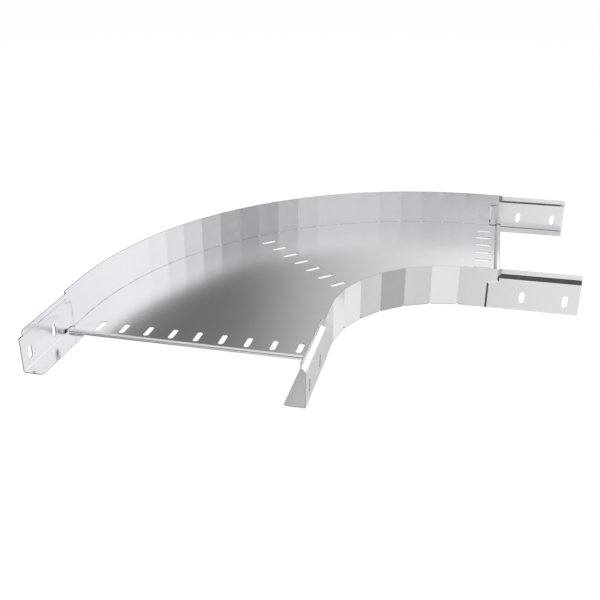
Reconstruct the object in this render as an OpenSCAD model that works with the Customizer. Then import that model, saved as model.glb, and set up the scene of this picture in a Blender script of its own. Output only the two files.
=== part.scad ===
// Horizontal 90 degree bend for a perforated cable tray.
// Three pieces of galvanised sheet steel: a floor plate, and two side walls folded
// into flat facets around it. The ends of each wall are pressed into connectors
// that a straight tray slides into.
// Seen from above, the arc turns about a point towards +X and -Y. One end opens
// along +X, the other along -Y, and the two ends are mirror images.

/* [Bend] */
// Radius of the bend, at the middle of the floor
bend_r = 491; // [420:1:700]
// Width of the floor plate
floor_w = 500; // [300:50:600]
// Length of floor past the arc, at each end
end_len = 68; // [66:1:120]
// Folds in the outer wall over the quarter turn
outer_folds = 21; // [11:2:31]
// Folds in the inner wall over the quarter turn
inner_folds = 7; // [5:2:13]
// Angle between folds of the inner wall, as a share of an even part of the turn
inner_spread = 1.05; // [1:0.01:1.08]

/* [Sheet] */
// Thickness of the sheet
sheet_t = 1.5; // [1:0.1:2]
// Radius inside a fold
fold_r = 1.5; // [1:0.1:2.5]
// Height of the side walls
wall_h = 85; // [80:1:110]
// Least gap between the floor plate and a wall
edge_gap = 0.3; // [0.2:0.1:1]
// Thickness of the straight tray that slides in
tray_t = 1.5; // [1:0.1:2]

/* [Floor slots] */
// Length of a slot
slot_len = 38; // [20:1:50]
// Width of a slot
slot_w = 11; // [6:0.5:14]
// Distance between neighbouring slots
slot_pitch = 50; // [40:1:60]
// Least distance from the middle of a slot to the side of the floor
slot_margin = 45; // [30:1:60]
// Distance from the arc to the middle of an end row
slot_row = 27; // [26:1:28]

/* [Floor lip] */
// Length of the raised lip
lip_len = 8; // [7:0.5:12]
// Length of the ramp up to the lip
lip_ramp = 6; // [5:0.5:8]
// Height of the ramp
lip_rise = 4.4; // [4:0.1:5]
// Distance that the lip falls from the ramp to its front edge
lip_fall = 1.4; // [1:0.1:1.6]
// Distance that the sides of the floor stand back beside the connectors
lip_side = 3; // [2:0.5:8]

/* [Floor tabs] */
// Width of the tabs that carry the floor plate
tab_w = 15; // [10:1:30]
// Diameter of the relief at each corner between two tabs
relief_d = 5; // [4:0.5:8]

/* [Connectors] */
// Distance from the arc to the end of a connector
connector_len = 220; // [210:1:300]
// Height of a connector
connector_h = 84; // [79:1:85]
// Distance from the arc to the joggle
joggle_start = 37; // [30:1:45]
// Width of the joggle
joggle_w = 4; // [3:0.5:5]
// Height of the upright part of the joggle
joggle_h = 56; // [45:1:58]
// Distance from the arc to the end of the full wall
shoulder = 57; // [54:1:62]
// Height at which the joggle reaches the end of the full wall
shoulder_h = 62.5; // [60:0.5:64]
// Length of the neck between the full wall and the upper strip
neck_len = 7.5; // [6:0.5:12]
// Height at which the connector starts to slant inwards
slant_low = 66.5; // [66:0.5:68]
// Height at which the slant ends
slant_high = 74.3; // [72:0.1:76]
// Distance that the slant goes inwards
slant_in = 8; // [5:0.5:10]
// Chamfer on the end of the upper strip
strip_chamfer = 3; // [1:0.5:5]
// Width of the bottom flange
flange_w = 38; // [25:1:60]
// Chamfer on the end of the bottom flange
flange_chamfer = 5; // [2:0.5:10]

/* [Connector slots] */
// Length of an upright slot
bolt_len = 25; // [16:1:36]
// Width of an upright slot
bolt_w = 11; // [6:0.5:14]
// Distance from the end of a connector to its last slot
bolt_end = 27; // [20:1:35]
// Distance between the two slots
bolt_pitch = 84; // [60:1:90]
// Height of the middle of a slot
bolt_z = 28; // [24:1:40]

/* [Hidden] */
$fn = 96;
// Flat pieces that stand for a round fold
FOLD_STEPS = 5;
// How far a cut runs past the surface that it opens
PAST = 1;
// How far formed stretches of one sheet run into each other
MERGE = 1;
// Part of the width of the joggle that flat sheet runs under
UNDER_SLOPE = 0.75;
// Length of a wedge, in widths of the joggle
WEDGE = 20;
// Flat sheet left between a relief and the side of a tab
RELIEF_EDGE = 1;
STEEL = [0.78, 0.79, 0.80];
STEEL_FLOOR = [0.70, 0.71, 0.72];

floor_in = bend_r - floor_w / 2;
floor_out = bend_r + floor_w / 2;
// The inner wall comes nearest to the floor plate at its corners, and the outer
// wall at the middle of its facets
inner_face = (floor_in - edge_gap) * cos(lead_angle(inner_folds, inner_spread));
outer_face = floor_out + edge_gap;
connector_out = tray_t + sheet_t;
strip_face = tray_t - slant_in;
// Distance along X and Y from the origin to the centre of the arc
bend_c = (outer_face + connector_out - connector_len) / 2;
slots_each_side = floor((floor_w / 2 - slot_margin) / slot_pitch);
// Corners of the joggle line on a wall, as distance from the arc and height
joggle_rise = atan2(shoulder_h - joggle_h, shoulder - joggle_start);
joggle_mitre = [1, -cos(joggle_rise) / (1 + sin(joggle_rise))];
joggle_line = [
    [joggle_start, 0],
    [joggle_start, joggle_h],
    [shoulder, shoulder_h],
    [shoulder, slant_high]
];
// Directions from those corners across the joggle, each as long as 1 mm of its width
joggle_across = [[1, 0], joggle_mitre, joggle_mitre, [1, 0]];
// Flange, wall, slant and upper strip of a connector, through the middle of the sheet
connector_path = [
    [connector_out - flange_w, sheet_t / 2],
    [tray_t + sheet_t / 2, sheet_t / 2],
    [tray_t + sheet_t / 2, slant_low],
    [strip_face + sheet_t / 2, slant_high],
    [strip_face + sheet_t / 2, connector_h]
];
// Height at which the fold below the slant starts
fold_low = slant_low - (fold_r + sheet_t / 2) * tan(atan2(slant_in, slant_high - slant_low) / 2);

// Direction of a line from one point to the next
function heading(a, b) = atan2(b[1] - a[1], b[0] - a[0]);
// Turn at a corner, from -180 to 180
function turn(a, b, c) = ((heading(b, c) - heading(a, b) + 540) % 360) - 180;
// A point beside a line that runs in direction a
function beside(p, a, d) = p + d * [-sin(a), cos(a)];
// Stations along the middle of a folded sheet: each is a point and a direction
function fold_stations(path, r) = [
    [path[0], heading(path[0], path[1])],
    for (i = [1 : len(path) - 2])
        let (
            a = heading(path[i - 1], path[i]),
            bend = turn(path[i - 1], path[i], path[i + 1]),
            side = sign(bend) * r,
            start = path[i] - r * tan(abs(bend) / 2) * [cos(a), sin(a)],
            centre = beside(start, a, side)
        )
        for (k = [0 : FOLD_STEPS])
            let (dir = a + bend * k / FOLD_STEPS)
            [beside(centre, dir, -side), dir],
    [path[len(path) - 1], heading(path[len(path) - 2], path[len(path) - 1])]
];
// The joggle line moved across the joggle
function moved_line(d) = [for (i = [0 : len(joggle_line) - 1]) joggle_line[i] + d * joggle_across[i]];
// One side of a sheet folded along a path through its middle
function folded_side(path, d) = [
    for (s = fold_stations(path, fold_r + sheet_t / 2)) beside(s[0], s[1], d)
];
function backwards(list) = [for (i = [len(list) - 1 : -1 : 0]) list[i]];
// Outline of a folded sheet
module folded_sheet(path) {
    polygon(concat(folded_side(path, sheet_t / 2), backwards(folded_side(path, -sheet_t / 2))));
}

// Everything is drawn about the centre of the arc, then moved so that
// the middle of the whole piece is at the origin
module placed() {
    translate([bend_c, -bend_c, 0]) children();
}
// The end along +X and its mirror image along -Y
module both_ends() {
    children();
    mirror([1, 1, 0]) children();
}
// A piece drawn as distance from the arc, distance outwards and height
module on_wall(face, outer) {
    translate([0, face, 0]) mirror([0, outer ? 0 : 1, 0]) children();
}
// A plate seen from the side: X is distance from the arc, Y is height
module side_plate(from, to) {
    translate([0, to, 0]) rotate([90, 0, 0]) linear_extrude(to - from) children();
}
// A hole with round ends, along X
module slot_hole(length, width, depth) {
    reach = (length - width) / 2;
    for (x = [-reach, reach]) translate([x, 0, 0]) cylinder(d = width, h = depth);
    translate([-reach, -width / 2, 0]) cube([2 * reach, width, depth]);
}

// A row of slots across the floor, each along X
module slot_row_holes() {
    for (k = [-slots_each_side : slots_each_side])
        translate([0, bend_r + k * slot_pitch, sheet_t - PAST])
            slot_hole(slot_len, slot_w, sheet_t + 2 * PAST);
}

// Each end of the floor is a raised lip, with its front edge folded down
module floor_plate() {
    middle = sheet_t * 1.5;
    lip_end = end_len - sheet_t / 2;
    ramp_end = end_len - lip_len;
    color(STEEL_FLOOR) placed() difference() {
        union() {
            rotate([0, 0, 90]) rotate_extrude(angle = 90, $fn = 360)
                translate([floor_in, sheet_t]) square([floor_w, sheet_t]);
            both_ends() side_plate(floor_in, floor_out) folded_sheet([
                [0, middle],
                [ramp_end - lip_ramp, middle],
                [ramp_end, middle + lip_rise],
                [lip_end, middle + lip_rise - lip_fall],
                [lip_end, sheet_t + edge_gap]
            ]);
        }
        both_ends() {
            translate([slot_row, 0, 0]) slot_row_holes();
            for (y = [floor_in - PAST, floor_out - lip_side])
                translate([joggle_start + joggle_w, y, 0])
                    cube([end_len, lip_side + PAST, wall_h]);
        }
        rotate([0, 0, 45]) slot_row_holes();
    }
}

// Angle between two folds, and from an end of the arc to the first fold
function fold_angle(folds, spread) = spread * 90 / folds;
function lead_angle(folds, spread) = 45 - fold_angle(folds, spread) * (folds - 1) / 2;
// Corners of a wall face: the straight ends, with the folds between them
function wall_corners(face, folds, spread) = let (lead = lead_angle(folds, spread)) [
    [shoulder + joggle_w, face],
    for (k = [0 : folds - 1])
        let (a = 90 + lead + k * fold_angle(folds, spread))
        face / cos(lead) * [cos(a), sin(a)],
    [-face, -shoulder - joggle_w]
];
// Plan of a faceted wall between its two faces
module wall_plan(face, back, folds, spread) {
    polygon(concat(
        wall_corners(face, folds, spread),
        backwards(wall_corners(back, folds, spread))
    ));
}
// Tabs under the floor plate, one to each facet and straight end.
// The floor lies inwards of the outer wall and outwards of the inner wall.
module wall_tabs(face, outer, folds, spread) {
    step = fold_angle(folds, spread);
    lead = lead_angle(folds, spread);
    facet = face / cos(lead) * cos(step / 2);
    back = outer ? tab_w : sheet_t / 2;
    depth = tab_w + sheet_t / 2;
    facet_half = (facet - (outer ? back : 0)) * tan(step / 2) - relief_d / 2 - RELIEF_EDGE;
    lead_half = (face - (outer ? back : 0)) * tan(lead) - relief_d / 2 - RELIEF_EDGE;
    for (k = [1 : folds - 1]) rotate([0, 0, 90 + lead + (k - 0.5) * step])
        translate([facet - back, -facet_half, 0]) cube([depth, 2 * facet_half, sheet_t]);
    both_ends() translate([-lead_half, face - back, 0])
        cube([lead_half + joggle_start - 2 * joggle_w, depth, sheet_t]);
}
// Small round reliefs that part the tabs at the corners
module tab_reliefs(face, folds, spread) {
    lead = lead_angle(folds, spread);
    reach = 2 * (sheet_t + edge_gap) + face * (1 / cos(lead) - 1);
    for (k = [0 : folds - 1]) rotate([0, 0, 90 + lead + k * fold_angle(folds, spread)])
        translate([face - reach, 0, sheet_t]) rotate([0, 90, 0])
            cylinder(d = relief_d, h = 2 * reach);
}

// The part of a wall end that the connector takes the place of.
// Flat sheet stays under the first part of the slope, and is hollowed out later.
module connector_place() {
    under = moved_line(joggle_w * UNDER_SLOPE);
    far = shoulder + joggle_w + PAST;
    side_plate(-PAST, sheet_t + PAST) polygon([
        [far, -PAST],
        [under[0][0], -PAST],
        under[1],
        under[2],
        [under[2][0], shoulder_h],
        [shoulder, shoulder_h],
        [shoulder, wall_h + PAST],
        [far, wall_h + PAST]
    ]);
}
// Wedge under the sloping sheet of one stretch of the joggle line.
// It starts some widths of the joggle before the line and runs well past it.
module slope_wedge(i, before, lift) {
    from = joggle_line[i];
    to = joggle_line[i + 1];
    low = lift - before * tray_t;
    translate([from[0], 0, from[1]]) rotate([0, 90 - heading(from, to), 0])
        translate([0, 0, -wall_h]) linear_extrude(2 * wall_h) polygon([
            [-before * joggle_w, low],
            [WEDGE * joggle_w, lift + WEDGE * tray_t],
            [WEDGE * joggle_w, low]
        ]);
}
// All three wedges. The middle one goes deeper, so that the others set the base.
module slope_wedges(lift) {
    intersection() {
        slope_wedge(0, 1, lift);
        slope_wedge(1, 2, lift);
    }
    slope_wedge(2, 1, lift);
}
// Outside of the sloping sheet, with a narrow band of the level sheet beside it.
// Its top ends under the slant of the connector.
module joggle_sheet() {
    intersection() {
        slope_wedges(sheet_t);
        side_plate(-PAST, connector_out) polygon(concat(
            moved_line(joggle_w + MERGE),
            backwards(moved_line(-joggle_w - PAST))
        ));
        rotate([90, 0, 90]) linear_extrude(connector_len) polygon(concat(
            [[strip_face, 0], [connector_out, 0]],
            [for (p = folded_side(connector_path, -sheet_t / 2)) if (p[1] > joggle_h) p]
        ));
    }
}
// Space inside the sloping sheet
module joggle_hollow() {
    intersection() {
        slope_wedges(0);
        side_plate(-2 * tray_t, tray_t)
            square([shoulder + 2 * joggle_w, slant_high]);
    }
}
// Neck that leads the wall in to the upper strip, above the slant
module connector_neck() {
    difference() {
        translate([0, 0, slant_low]) linear_extrude(wall_h - slant_low) polygon([
            [shoulder, 0],
            [shoulder, sheet_t],
            [shoulder + neck_len, strip_face + sheet_t],
            [shoulder + neck_len, strip_face]
        ]);
        translate([shoulder - PAST, 0, 0]) rotate([90, 0, 90])
            linear_extrude(neck_len + 2 * PAST) polygon([
                [tray_t, slant_low],
                [strip_face, slant_high],
                [strip_face - PAST, slant_high],
                [strip_face - PAST, slant_low - PAST],
                [tray_t, slant_low - PAST]
            ]);
    }
}
// What the joggle and the neck leave out of the folded section.
// The flange and its fold start where the level band beside the joggle ends.
module section_cut() {
    edge = moved_line(joggle_w + MERGE / 2);
    band_end = joggle_start + joggle_w + MERGE;
    above_fold = fold_r + 2 * sheet_t;
    top = wall_h + PAST;
    side_plate(strip_face - PAST, connector_out + PAST) polygon([
        [joggle_start, above_fold],
        [edge[0][0], above_fold],
        edge[1],
        edge[2],
        [edge[2][0], fold_low],
        [shoulder, fold_low],
        [shoulder, top],
        [joggle_start, top]
    ]);
    translate([joggle_start, connector_out - flange_w - PAST, -PAST])
        cube([band_end - joggle_start, flange_w + 2 * PAST, above_fold + PAST]);
    translate([0, 0, shoulder_h]) linear_extrude(top - shoulder_h) {
        polygon([
            [shoulder - 2 * joggle_w, sheet_t - 2 * tray_t],
            [shoulder + joggle_w, connector_out],
            [shoulder + joggle_w, connector_out + PAST],
            [shoulder - 2 * joggle_w, connector_out + PAST]
        ]);
        polygon([
            [shoulder - PAST, 0],
            [shoulder, 0],
            [shoulder + neck_len, strip_face],
            [shoulder + neck_len, strip_face - PAST],
            [shoulder - PAST, strip_face - PAST]
        ]);
    }
}
module connector_chamfers() {
    translate([connector_len, 0, connector_h]) rotate([0, 45, 0])
        cube([2 * strip_chamfer, 4 * connector_h, strip_chamfer * sqrt(2)], center = true);
    translate([connector_len, connector_out - flange_w, 0]) rotate([0, 0, -45])
        cube([flange_chamfer * sqrt(2), 2 * flange_chamfer, 4 * sheet_t], center = true);
}
module connector() {
    start = joggle_start + joggle_w + MERGE / 2;
    connector_neck();
    difference() {
        translate([start, 0, 0]) rotate([90, 0, 90])
            linear_extrude(connector_len - start) folded_sheet(connector_path);
        section_cut();
        connector_chamfers();
        for (k = [0, 1])
            translate([connector_len - bolt_end - k * bolt_pitch, tray_t - PAST, bolt_z])
                rotate([0, 90, 90]) slot_hole(bolt_len, bolt_w, sheet_t + 2 * PAST);
    }
}

module side_wall(face, outer, folds, spread) {
    back = outer ? face + sheet_t : face - sheet_t;
    color(STEEL) placed() {
        difference() {
            union() {
                difference() {
                    linear_extrude(wall_h) wall_plan(face, back, folds, spread);
                    both_ends() on_wall(face, outer) connector_place();
                }
                wall_tabs(face, outer, folds, spread);
                both_ends() on_wall(face, outer) joggle_sheet();
            }
            both_ends() on_wall(face, outer) joggle_hollow();
            tab_reliefs(face, folds, spread);
        }
        both_ends() on_wall(face, outer) connector();
    }
}
module outer_side_wall() {
    side_wall(outer_face, true, outer_folds, 1);
}
module inner_side_wall() {
    side_wall(inner_face, false, inner_folds, inner_spread);
}

floor_plate();
outer_side_wall();
inner_side_wall();
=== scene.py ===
# %% [markdown]
# # A cable tray bend in galvanised sheet steel
# The real object is a quarter turn of a perforated cable tray: a flat floor plate
# with slots, and two side walls folded into flat facets round it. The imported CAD
# model holds every fold, slot and joggle at its real size, in metres, so nothing is
# modelled again here. This lesson gives that model its finish: what zinc-coated
# steel looks like, why sheet metal needs something to reflect, and how a studio for
# shiny metal is set up.

# %% Load the frame
import math

import bpy
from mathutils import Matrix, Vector


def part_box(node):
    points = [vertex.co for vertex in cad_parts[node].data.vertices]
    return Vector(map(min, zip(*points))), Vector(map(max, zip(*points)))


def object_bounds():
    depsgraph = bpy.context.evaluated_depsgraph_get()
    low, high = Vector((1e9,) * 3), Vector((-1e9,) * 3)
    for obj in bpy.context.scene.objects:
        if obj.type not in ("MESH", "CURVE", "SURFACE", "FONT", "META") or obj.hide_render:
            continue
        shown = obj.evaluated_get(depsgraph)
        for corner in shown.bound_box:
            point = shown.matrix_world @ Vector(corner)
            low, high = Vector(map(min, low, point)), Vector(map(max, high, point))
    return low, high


MM_PER_M = 1000

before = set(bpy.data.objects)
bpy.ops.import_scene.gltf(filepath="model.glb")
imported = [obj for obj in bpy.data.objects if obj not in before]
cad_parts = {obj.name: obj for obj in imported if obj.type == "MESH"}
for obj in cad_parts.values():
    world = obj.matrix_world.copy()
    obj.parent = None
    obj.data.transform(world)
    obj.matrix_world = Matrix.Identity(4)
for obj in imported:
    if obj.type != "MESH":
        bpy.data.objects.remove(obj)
cad_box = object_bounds()
floor_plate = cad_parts["floor_plate"]
outer_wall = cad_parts["outer_side_wall"]
inner_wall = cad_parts["inner_side_wall"]
size = cad_box[1] - cad_box[0]
print("pieces:", sorted(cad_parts))
print("overall size in mm:", [round(MM_PER_M * side, 1) for side in size])

# %% [markdown]
# ## Three small helpers
# Colours are written the way paint charts and colour pickers write them, as sRGB hex
# values. Blender's shaders work in linear light, so one function converts them. A
# second function adds a node, sets its properties and fills its sockets: a socket
# takes either a plain value or the output of another node, which is then linked. A
# third starts a material with an empty node tree.


# %% Colour, node and material helpers
def linear(hex_colour):
    """sRGB hex to linear RGBA."""
    parts = [int(hex_colour[i : i + 2], 16) / 255 for i in (1, 3, 5)]
    return [c / 12.92 if c <= 0.04045 else ((c + 0.055) / 1.055) ** 2.4 for c in parts] + [1.0]


def add_node(tree, kind, sockets=None, **settings):
    """A new node with its properties set and its sockets filled or linked."""
    node = tree.nodes.new(kind)
    for name, value in settings.items():
        setattr(node, name, value)
    for name, value in (sockets or {}).items():
        if isinstance(value, bpy.types.NodeSocket):
            tree.links.new(value, node.inputs[name])
        else:
            node.inputs[name].default_value = value
    return node


def new_material(name):
    """A material with an empty node tree."""
    material = bpy.data.materials.new(name)
    material.use_nodes = True
    material.node_tree.nodes.clear()
    return material


print("mid grey #808080 is", round(linear("#808080")[0], 3), "in linear light")

# %% [markdown]
# ## Strip-galvanised sheet steel
# The sheet was rolled, then drawn through molten zinc as a strip, so both faces carry
# a thin bright zinc skin. To the eye that is a pale, slightly cool metal with soft
# reflections. Three things keep it from looking like plastic or chrome: zinc crystals
# a few millimetres wide that differ a little in tone, fine lines along the rolling
# direction, and slow cloudy changes in gloss over a hand's width.
# Each could be painted as an image. Procedural textures in object coordinates are
# used instead, because the object's coordinates are metres, so every pattern can be
# given its real size.

# %% Patterns of the zinc skin
CRYSTAL_MM = 3.0
CLOUD_MM = 90.0
CLOUD_SHARE = 0.6
# Real rolling lines are a few tenths of a millimetre apart, too fine to show, so these
# are drawn coarser
ROLL_LINE_MM = 0.9
ROLL_LINE_LENGTH_MM = 160.0


def zinc_patterns(tree, line_scale):
    """Two patterns: the tone of crystals and clouds, and the rolling lines."""
    place = add_node(tree, "ShaderNodeTexCoord").outputs["Object"]
    crystals = add_node(
        tree, "ShaderNodeTexVoronoi", {"Vector": place, "Scale": MM_PER_M / CRYSTAL_MM}
    )
    crystal_tone = add_node(tree, "ShaderNodeSeparateColor", {"Color": crystals.outputs["Color"]})
    clouds = add_node(
        tree,
        "ShaderNodeTexNoise",
        {"Vector": place, "Scale": MM_PER_M / CLOUD_MM, "Detail": 3.0, "Roughness": 0.55},
    )
    tone = add_node(
        tree,
        "ShaderNodeMix",
        {"Factor": CLOUD_SHARE, "A": crystal_tone.outputs["Red"], "B": clouds.outputs["Fac"]},
        data_type="FLOAT",
    )
    stretched = add_node(tree, "ShaderNodeMapping", {"Vector": place, "Scale": line_scale})
    lines = add_node(
        tree,
        "ShaderNodeTexNoise",
        {"Vector": stretched.outputs["Vector"], "Scale": 1.0, "Detail": 2.0, "Roughness": 0.6},
    )
    return tone.outputs["Result"], lines.outputs["Fac"]


print("zinc crystals per metre:", round(MM_PER_M / CRYSTAL_MM))

# %% Material: galvanised sheet
ZINC = "#e4e5e7"
ZINC_DULL = "#dddee0"
GLOSS_TONE_SHARE = 0.5
RELIEF_DEPTH = 0.0002
ROLL_LINE_RELIEF = 0.06
# Smoothest and roughest: the floor reflects a little more softly than the walls
FLOOR_ROUGHNESS = (0.235, 0.272)
WALL_ROUGHNESS = (0.15, 0.27)


def galvanised_sheet(name, line_scale, roughness_range):
    """Zinc-coated sheet. line_scale stretches the rolling lines along one axis."""
    material = new_material(name)
    tree = material.node_tree
    tone, lines = zinc_patterns(tree, line_scale)
    colour = add_node(tree, "ShaderNodeValToRGB", {"Fac": tone})
    colour.color_ramp.elements[0].color = linear(ZINC_DULL)
    colour.color_ramp.elements[1].color = linear(ZINC)
    gloss = add_node(
        tree,
        "ShaderNodeMix",
        {"Factor": GLOSS_TONE_SHARE, "A": lines, "B": tone},
        data_type="FLOAT",
    )
    smoothest, roughest = roughness_range
    roughness = add_node(
        tree,
        "ShaderNodeMapRange",
        {"Value": gloss.outputs["Result"], "To Min": smoothest, "To Max": roughest},
    )
    relief = add_node(
        tree,
        "ShaderNodeBump",
        {"Strength": ROLL_LINE_RELIEF, "Distance": RELIEF_DEPTH, "Height": lines},
    )
    steel = add_node(
        tree,
        "ShaderNodeBsdfPrincipled",
        {
            "Base Color": colour.outputs["Color"],
            "Metallic": 1.0,
            "Roughness": roughness.outputs["Result"],
            "Normal": relief.outputs["Normal"],
        },
    )
    add_node(tree, "ShaderNodeOutputMaterial", {"Surface": steel.outputs["BSDF"]})
    return material


# The lines run from front to back on the floor, and upright on the walls
across = MM_PER_M / ROLL_LINE_MM
along = MM_PER_M / ROLL_LINE_LENGTH_MM
floor_sheet = galvanised_sheet("strip_galvanised_floor", (across, along, across), FLOOR_ROUGHNESS)
wall_sheet = galvanised_sheet("strip_galvanised_wall", (across, across, along), WALL_ROUGHNESS)
print("materials:", floor_sheet.name, wall_sheet.name)

# %% [markdown]
# ## Sheared edges
# Where the strip was cut to length or punched, the blade left bare grey steel: a
# narrow edge that is darker and duller than the zinc. It is what draws the thin dark
# line along the top of every wall. It could be a separate strip of mesh, but the
# sheet already has real edge faces, so they only need a second material slot.

# %% Material: sheared edge
EDGE_STEEL = "#cfd1d4"
EDGE_STEEL_DARK = "#b3b6b9"
EDGE_ROUGHNESS = 0.35
EDGE_RELIEF = 0.2
# Real tear marks are finer than this and would not show, so these are drawn coarser
TEAR_MM = 0.6

sheared_edge = new_material("sheared_steel_edge")
tree = sheared_edge.node_tree
place = add_node(tree, "ShaderNodeTexCoord").outputs["Object"]
tear = add_node(
    tree, "ShaderNodeTexNoise", {"Vector": place, "Scale": MM_PER_M / TEAR_MM, "Detail": 2.0}
)
colour = add_node(tree, "ShaderNodeValToRGB", {"Fac": tear.outputs["Fac"]})
colour.color_ramp.elements[0].color = linear(EDGE_STEEL_DARK)
colour.color_ramp.elements[1].color = linear(EDGE_STEEL)
relief = add_node(
    tree,
    "ShaderNodeBump",
    {"Strength": EDGE_RELIEF, "Distance": RELIEF_DEPTH, "Height": tear.outputs["Fac"]},
)
steel = add_node(
    tree,
    "ShaderNodeBsdfPrincipled",
    {
        "Base Color": colour.outputs["Color"],
        "Metallic": 1.0,
        "Roughness": EDGE_ROUGHNESS,
        "Normal": relief.outputs["Normal"],
    },
)
add_node(tree, "ShaderNodeOutputMaterial", {"Surface": steel.outputs["BSDF"]})
print("material:", sheared_edge.name)

# %% [markdown]
# ## Which faces are edges
# The edge faces could be picked by hand, but a rule still holds when the CAD model
# changes. On the floor plate every upright face is a cut, the rim and the insides of
# the slots, apart from the fronts of the two lips, where the sheet itself is folded
# down. A side wall is harder, because it turns. At each face the direction through
# the sheet is worked out: away from the centre of the arc on the bend, and straight
# across on the two ends. A face that looks along the sheet, and not through it, is an
# edge. The tabs and flanges at the very bottom lie flat, so there only the upright
# faces count.

# %% Tell cut faces from sheet faces
# In metres: the straight ends beyond the arc, the folded fronts of the lips, the top
# of the folds at the foot of a wall, and the thickness of the sheet
END_LENGTH = 0.068
LIP_DEPTH = 0.003
FLAT_HEIGHT = 0.0032
SHEET = 0.0015
# How much of a face's normal points in a direction: little, or most of it
LITTLE = 0.3
MOST = 0.7
arc_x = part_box("floor_plate")[1].x - END_LENGTH
arc_centre = Vector((arc_x, -arc_x, 0))


def through_sheet(point):
    """Direction through the sheet of a side wall at a point."""
    out = point - arc_centre
    if out.x > 0:
        return Vector((0, 1, 0))
    if out.y < 0:
        return Vector((1, 0, 0))
    return Vector((out.x, out.y, 0)).normalized()


def on_lip_front(face):
    """Whether a face is the folded front of a lip, at the end of the floor plate."""
    out = face.center - arc_centre
    forward = face.normal.x if out.x > -out.y else face.normal.y
    return max(out.x, -out.y) > END_LENGTH - LIP_DEPTH and abs(forward) > MOST


def is_cut(face, wall):
    """Whether a face is a cut edge, on a side wall or on the floor plate."""
    upright = abs(face.normal.z) < LITTLE
    if not wall:
        return upright and not on_lip_front(face)
    if face.center.z < SHEET:
        return upright
    along_sheet = abs(face.normal.dot(through_sheet(face.center))) < LITTLE
    return along_sheet and (upright or face.center.z > FLAT_HEIGHT)


print("centre of the arc in mm:", [round(MM_PER_M * side, 1) for side in arc_centre])

# %% Give the faces their slots
finishes = ((floor_plate, floor_sheet), (outer_wall, wall_sheet), (inner_wall, wall_sheet))
for piece, sheet in finishes:
    piece.data.materials.clear()
    piece.data.materials.append(sheet)
    piece.data.materials.append(sheared_edge)
    for face in piece.data.polygons:
        face.material_index = 1 if is_cut(face, piece is not floor_plate) else 0
    cuts = sum(face.material_index for face in piece.data.polygons)
    print(piece.name, "faces:", len(piece.data.polygons), "of them cut edges:", cuts)

# %% [markdown]
# ## A light tent for shiny metal
# Sheet metal has almost no colour of its own: it shows what stands around it. If all
# round were white, the facets would melt into one pale band. A photographer builds a
# tent of white cloth round such an object and hangs dark cloth on one side, so that
# each facet picks up its own tone. Here the tent is one large round shell with an open
# top, seen only in reflections, whose brightness changes with direction and turns to
# white towards the rim. It could also be a picture of a studio wrapped round the
# world, but a shell with a few dozen stated brightnesses is easier to read and to
# change.

# %% How bright the cloth is
# Up to LOW_DEG the low cloth shows, from HIGH_DEG the high cloth, and between them a mix
LOW_DEG = -22
HIGH_DEG = 22
# Brightness of the cloth by compass direction: 0 is straight ahead (+Y), 90 is right
HIGH_CLOTH = [
    (-180, 1.17), (-150, 0.80), (-115, 0.20), (-90, 0.20), (-60, 0.40), (-35, 0.21), (-25, 0.08),
    (-18, 0.07), (-14, 0.37), (-10, 0.60), (-5, 0.85), (0, 1.06), (5, 1.27), (15, 1.60),
    (27, 1.48), (45, 1.59), (65, 1.57), (80, 1.21), (95, 0.58), (105, 0.52), (125, 1.17),
    (145, 1.15), (165, 0.92), (180, 1.17),
]
LOW_CLOTH = [
    (-180, 0.72), (-168, 0.97), (-154, 0.12), (-135, 0.07), (-105, 0.04), (-60, 0.30), (-25, 0.20),
    (-5, 0.20), (12, 0.73), (36, 1.08), (60, 1.06), (85, 0.80), (114, 0.48), (133, 0.82),
    (157, 1.05), (174, 1.04), (180, 0.72),
]
# Height in degrees from which the cloth fades to white, by compass direction
WHITE_FROM = [(-180, 29), (-80, 29), (-62, 36), (-21, 36), (-14, 29), (180, 29)]
WHITE_FADE_DEG = 10


def between(table, x):
    """Straight-line value between the two nearest entries of a table."""
    for (x0, y0), (x1, y1) in zip(table, table[1:]):
        if x0 <= x <= x1:
            return y0 + (y1 - y0) * (x - x0) / (x1 - x0)


def cloth_tone(bearing, height_deg):
    """The low cloth fades into the high cloth, which turns white towards the rim."""
    share = min(max((height_deg - LOW_DEG) / (HIGH_DEG - LOW_DEG), 0), 1)
    white = min(max((height_deg - between(WHITE_FROM, bearing)) / WHITE_FADE_DEG, 0), 1)
    tone = between(HIGH_CLOTH, bearing) * share + between(LOW_CLOTH, bearing) * (1 - share)
    return tone * (1 - white) + white


print("straight ahead and level the cloth is", round(cloth_tone(0, 0), 2))

# %% [markdown]
# ## Sheets for the studio
# The tent, a dark card and the paper floor are all bare sheets with one material. They
# could be added as planes and shaped by hand. One function makes them from a list of
# corners instead, and another hides the first two from all but reflections, so that
# they never show in the picture or cast a shadow.


# %% Studio helpers
def studio_sheet(name, points, faces, material):
    """A sheet of cloth, card or paper with the given corners, faces and material."""
    mesh = bpy.data.meshes.new(name)
    mesh.from_pydata(points, [], faces)
    mesh.materials.append(material)
    sheet = bpy.data.objects.new(name, mesh)
    bpy.context.scene.collection.objects.link(sheet)
    return sheet


def only_in_reflections(sheet):
    """Hide a sheet from the camera, from matt surfaces, from glass and from shadows."""
    sheet.visible_camera = False
    sheet.visible_diffuse = False
    sheet.visible_transmission = False
    sheet.visible_shadow = False


ONE_FACE = [(0, 1, 2, 3)]
print("a plain sheet has", len(ONE_FACE[0]), "corners")

# %% [markdown]
# ## Putting up the tent
# Every point of the shell carries its brightness as an attribute, and the cloth's
# material reads that as the strength of its glow. A material for each panel would do
# it too, but then the tone would jump at each seam. Between points Blender blends an
# attribute, so the cloth shades softly from one stated brightness to the next.

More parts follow.
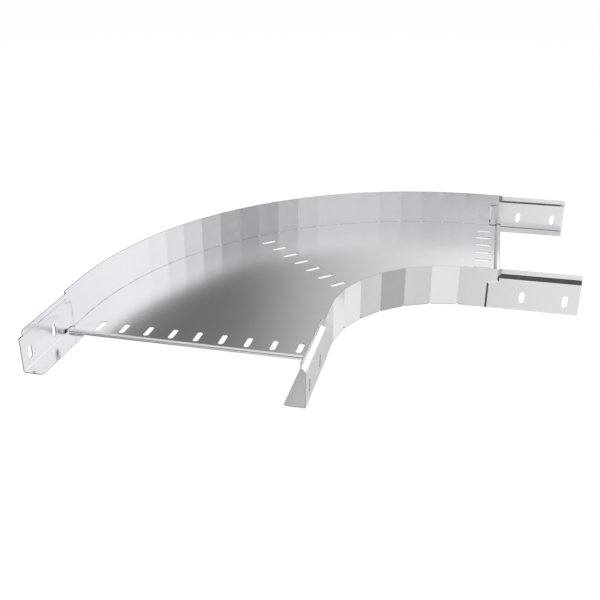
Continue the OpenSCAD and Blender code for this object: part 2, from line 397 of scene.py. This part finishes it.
# %% Light the cloth
cloth = new_material("lit_tent_cloth")
tree = cloth.node_tree
level = add_node(tree, "ShaderNodeAttribute", attribute_name="brightness")
glow = add_node(tree, "ShaderNodeEmission", {"Strength": level.outputs["Fac"]})
add_node(tree, "ShaderNodeOutputMaterial", {"Surface": glow.outputs["Emission"]})
print("the cloth takes its light from the attribute", level.attribute_name)

# %% Put up the tent
TENT_RADIUS = 15.0
BEARING_STEP_DEG = 2
ROW_HEIGHTS_DEG = (-75, -50, LOW_DEG, -11, 0, 11, HIGH_DEG, 29, 32, 36, 39, 42, 46)
bearings = list(range(-180, 181, BEARING_STEP_DEG))
points, panels, tones = [], [], []
for height_deg in ROW_HEIGHTS_DEG:
    for bearing in bearings:
        turn, rise = math.radians(bearing), math.radians(height_deg)
        points.append(
            (
                TENT_RADIUS * math.sin(turn) * math.cos(rise),
                TENT_RADIUS * math.cos(turn) * math.cos(rise),
                TENT_RADIUS * math.sin(rise),
            )
        )
        tones.append(cloth_tone(bearing, height_deg))
wide = len(bearings)
for row in range(len(ROW_HEIGHTS_DEG) - 1):
    for column in range(wide - 1):
        first = row * wide + column
        panels.append((first, first + 1, first + wide + 1, first + wide))
tent = studio_sheet("light_tent", points, panels, cloth)
brightness = tent.data.attributes.new("brightness", "FLOAT", "POINT")
brightness.data.foreach_set("value", tones)
only_in_reflections(tent)
print("tent panels:", len(panels), "darkest", min(tones), "brightest", max(tones))

# %% [markdown]
# ## A dark card over the camera
# The sloping strip along the top of each connector looks up and back, over the
# photographer's head. In a real studio that is the dark end of the room, and it is
# why the strip is nearly black. It could be one more dark stretch of the tent, but the
# strip looks out above the rim. So one card hangs across the camera's side of the open
# top.

# %% Hang the card
CARD_TONE = 0.08
CARD_CORNERS = [(-9, -1, 10), (9, -1, 10), (12, -12, 9), (-12, -12, 9)]
dark_felt = new_material("dark_felt")
tree = dark_felt.node_tree
glow = add_node(tree, "ShaderNodeEmission", {"Strength": CARD_TONE})
add_node(tree, "ShaderNodeOutputMaterial", {"Surface": glow.outputs["Emission"]})
card = studio_sheet("dark_card", CARD_CORNERS, ONE_FACE, dark_felt)
only_in_reflections(card)
print("dark card at", CARD_TONE)

# %% [markdown]
# ## White room
# The background is plain white, also where metal or glass would show it. A white wall
# could stand behind the object, but then it would need light of its own. The world is
# set to show as white instead, and to give matt surfaces a little less than that.

# %% World
WHITE_STRENGTH = 1.0
FILL_STRENGTH = 0.6
world = bpy.data.worlds.new("white_room")
bpy.context.scene.world = world
world.use_nodes = True
tree = world.node_tree
tree.nodes.clear()
ray = add_node(tree, "ShaderNodeLightPath")
seen = ray.outputs["Is Camera Ray"]
for kind in ("Is Glossy Ray", "Is Transmission Ray"):
    either = add_node(
        tree, "ShaderNodeMath", {0: seen, 1: ray.outputs[kind]}, operation="ADD", use_clamp=True
    )
    seen = either.outputs["Value"]
strength = add_node(
    tree,
    "ShaderNodeMapRange",
    {"Value": seen, "To Min": FILL_STRENGTH, "To Max": WHITE_STRENGTH},
)
background = add_node(
    tree,
    "ShaderNodeBackground",
    {"Color": linear("#ffffff"), "Strength": strength.outputs["Result"]},
)
add_node(tree, "ShaderNodeOutputWorld", {"Surface": background.outputs["Background"]})
print("white at", WHITE_STRENGTH, "and fill at", FILL_STRENGTH)

# %% [markdown]
# ## Pale paper floor
# The floor is a pale sheet of paper. White paint alone would turn grey in soft light,
# so it is mostly white by itself, with a little matt colour that takes light and so
# keeps the soft shadow under the object. It is left out of reflections, which the tent
# fills.

# %% Floor
PAPER_HALF = 30.0
PAPER_GAP = 0.0003
PAPER_GLOW = 0.93
PAPER_MATT = "#595959"
white_paper = new_material("white_paper")
tree = white_paper.node_tree
glow = add_node(tree, "ShaderNodeEmission", {"Strength": PAPER_GLOW})
matt = add_node(tree, "ShaderNodeBsdfDiffuse", {"Color": linear(PAPER_MATT)})
both = add_node(
    tree, "ShaderNodeAddShader", {0: glow.outputs["Emission"], 1: matt.outputs["BSDF"]}
)
add_node(tree, "ShaderNodeOutputMaterial", {"Surface": both.outputs["Shader"]})
signs = ((-1, -1), (1, -1), (1, 1), (-1, 1))
corners = [(PAPER_HALF * x, PAPER_HALF * y, 0) for x, y in signs]
paper = studio_sheet("paper_floor", corners, ONE_FACE, white_paper)
paper.location.z = cad_box[0].z - PAPER_GAP
paper.visible_glossy = False
print("floor at", round(MM_PER_M * paper.location.z, 2), "mm")

# %% [markdown]
# ## One soft lamp
# A broad lamp overhead gives the paper its light and the object its shadow. The tent
# could do that too, but then each change to the reflections would change the shadow.
# The lamp stays out of the reflections, where it would burn a white patch into the
# sheet.

# %% Lamp
LAMP_ACROSS = 2.5
LAMP_WATTS = 60
LAMP_PLACE = Vector((-0.6, -0.6, 2.6))
lamp_data = bpy.data.lights.new("soft_overhead", "AREA")
lamp_data.shape = "DISK"
lamp_data.size = LAMP_ACROSS
lamp_data.energy = LAMP_WATTS
lamp = bpy.data.objects.new("soft_overhead", lamp_data)
lamp.location = LAMP_PLACE
# A lamp shines along its own -Z, which is turned towards the origin
lamp.rotation_euler = (-LAMP_PLACE).to_track_quat("-Z", "Y").to_euler()
lamp.visible_glossy = False
bpy.context.scene.collection.objects.link(lamp)
print("lamp size in m:", lamp_data.size)

# %% [markdown]
# ## Camera
# The camera stands where the photographer stood: in front and a little to the right,
# looking 25 degrees down. It could be set by eye, but the place and the lens were
# worked out from the slots, whose even spacing shows the perspective.

# %% Camera
CAMERA_PLACE = (0.2622, -1.5535, 0.7093)
CAMERA_TURN_DEG = (64.892, -0.094, 13.037)
SENSOR_MM = 36.0
LENS_MM = 47.77
camera_data = bpy.data.cameras.new("photo_camera")
camera_data.sensor_width = SENSOR_MM
camera_data.lens = LENS_MM
camera = bpy.data.objects.new("photo_camera", camera_data)
camera.location = CAMERA_PLACE
camera.rotation_euler = [math.radians(turn_deg) for turn_deg in CAMERA_TURN_DEG]
bpy.context.scene.collection.objects.link(camera)
bpy.context.scene.camera = camera
bpy.context.scene.view_settings.view_transform = "Standard"
print("lens", LENS_MM, "mm")
